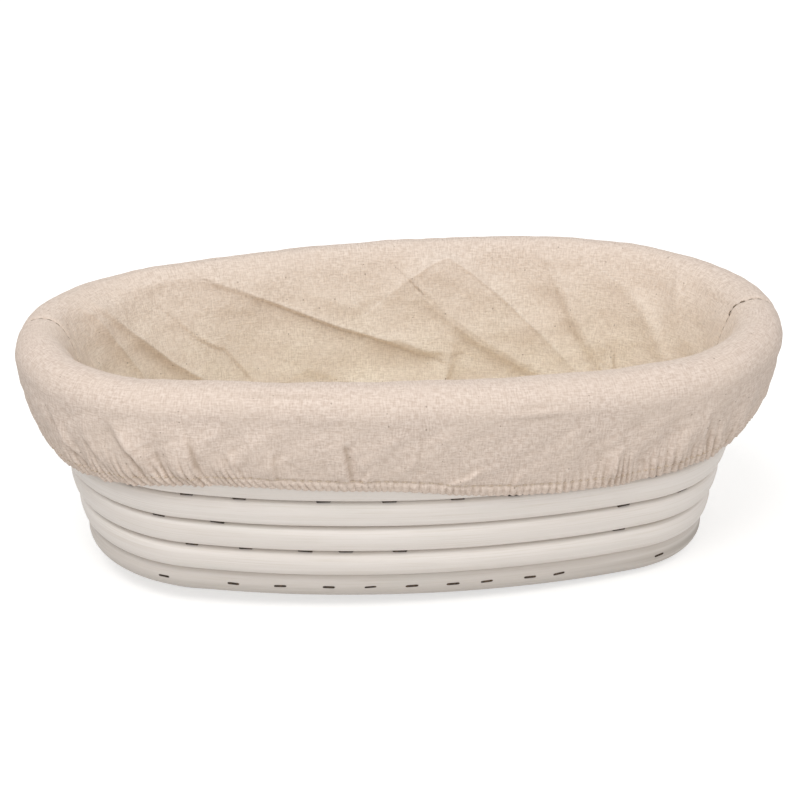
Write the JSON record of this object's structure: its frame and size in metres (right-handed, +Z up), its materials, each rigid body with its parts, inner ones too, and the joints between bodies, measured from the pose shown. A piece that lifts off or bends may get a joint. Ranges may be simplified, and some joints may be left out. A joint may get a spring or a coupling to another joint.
{
  "type": "proofing basket",
  "caption": "Oval proofing basket of coiled cane, stapled in its grooves, with a removable ecru cloth liner gathered over the rim by an elastic hem.",
  "frame": {"origin": "centre of the basket on the table, under the middle of its base", "axes": "+X along the length towards the right end, +Y towards the back, +Z up; the pictured side faces -Y"},
  "size_m": [0.2568, 0.1484, 0.0835],
  "materials": {
    "cane": "peeled, pale, matt",
    "staple_wire": "dark bronze steel wire",
    "cloth": "unbleached plain weave",
    "elastic": "covered flat band",
    "thread": "sewing thread"
  },
  "bodies": {
    "basket": {"base_core": "cane", "base_cane": "cane", "wall_cane_lower": "cane", "wall_cane_middle": "cane", "wall_cane_upper": "cane", "base_staples": "staple_wire", "foot_staples": "staple_wire", "splice_staples": "staple_wire", "seam_staples_lower": "staple_wire", "seam_staples_middle": "staple_wire", "seam_staples_upper": "staple_wire"},
    "liner": {"liner_front_panel": "cloth", "liner_back_panel": "cloth", "hem_elastic": "elastic", "liner_seam_thread": "thread", "hem_thread": "thread"}
  },
  "joints": [
    {"name": "liner_pull", "type": "slide", "parent": "basket", "child": "liner", "axis": [0, 0, 1], "range_m": [0, 0.11], "deforming": ["liner_front_panel", "liner_back_panel", "hem_elastic", "liner_seam_thread", "hem_thread"]}
  ]
}
